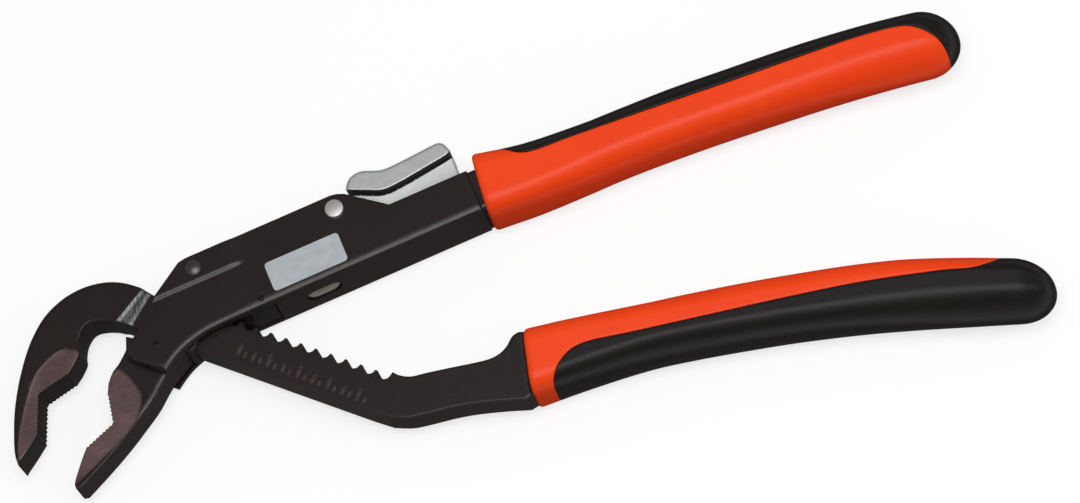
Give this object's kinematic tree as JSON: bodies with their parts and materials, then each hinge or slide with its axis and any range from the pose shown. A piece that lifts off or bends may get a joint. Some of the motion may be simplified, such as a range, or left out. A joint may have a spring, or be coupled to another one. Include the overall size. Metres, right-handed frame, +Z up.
{
  "type": "water pump pliers",
  "caption": "Slip-joint pliers with a toothed arm that slides and turns in a folded steel body, a thumb lever that lifts the locking pawl, and two-colour grips.",
  "frame": {"origin": "centre of the tool's outline, on the flat that it lies on", "axes": "+X along the tool from the jaws to the handles, +Y towards the limb with the thumb lever, +Z up out of the plane that the jaws open in"},
  "size_m": [0.261, 0.0852, 0.0184],
  "materials": {
    "black_steel": "black phosphated tool steel, ground bare on the jaw faces",
    "dull_steel": "plain steel, slightly dulled",
    "bright_steel": "zinc plated steel",
    "orange_grip": "moulded plastic, semi-gloss",
    "black_grip": "soft moulded thermoplastic, matt"
  },
  "bodies": {
    "upper_limb": {"channel_frame": "black_steel", "lower_jaw": "black_steel", "lower_jaw_pin": "dull_steel", "guide_block": "dull_steel", "guide_block_pin": "dull_steel", "front_rivet": "dull_steel", "lever_rivet": "bright_steel", "lever_spring": "bright_steel", "upper_grip_shell": "orange_grip", "upper_grip_inlay": "black_grip"},
    "saddle": {"swivel_saddle": "dull_steel"},
    "lower_limb": {"hook_jaw_limb": "black_steel", "lower_grip_shell": "orange_grip", "lower_grip_inlay": "black_grip"},
    "lever": {"thumb_lever": "bright_steel"},
    "pawl": {"locking_pawl": "bright_steel"}
  },
  "joints": [
    {"name": "jaw_pivot", "type": "hinge", "parent": "upper_limb", "child": "saddle", "pos_m": [-0.0774, 0.0066, 0.0092], "axis": [0, 0, 1], "range_deg": [-12, 9]},
    {"name": "rack_slide", "type": "slide", "parent": "saddle", "child": "lower_limb", "axis": [-0.8387, 0.5446, 0], "range_m": [0, 0.0249]},
    {"name": "lever_press", "type": "hinge", "parent": "upper_limb", "child": "lever", "pos_m": [-0.04029, 0.02368, 0.0092], "axis": [0, 0, 1], "range_deg": [-4, 0], "stiffness_Nm_per_rad": 2, "springref_deg": 2.86, "deforming": ["lever_spring"]},
    {"name": "pawl_lift", "type": "slide", "parent": "upper_limb", "child": "pawl", "axis": [0.5446, 0.8387, 0], "range_m": [0, 0.0032]}
  ],
  "couplings": [
    {"joint": "pawl_lift", "follows": "lever_press", "m_per_rad": -0.0447}
  ]
}
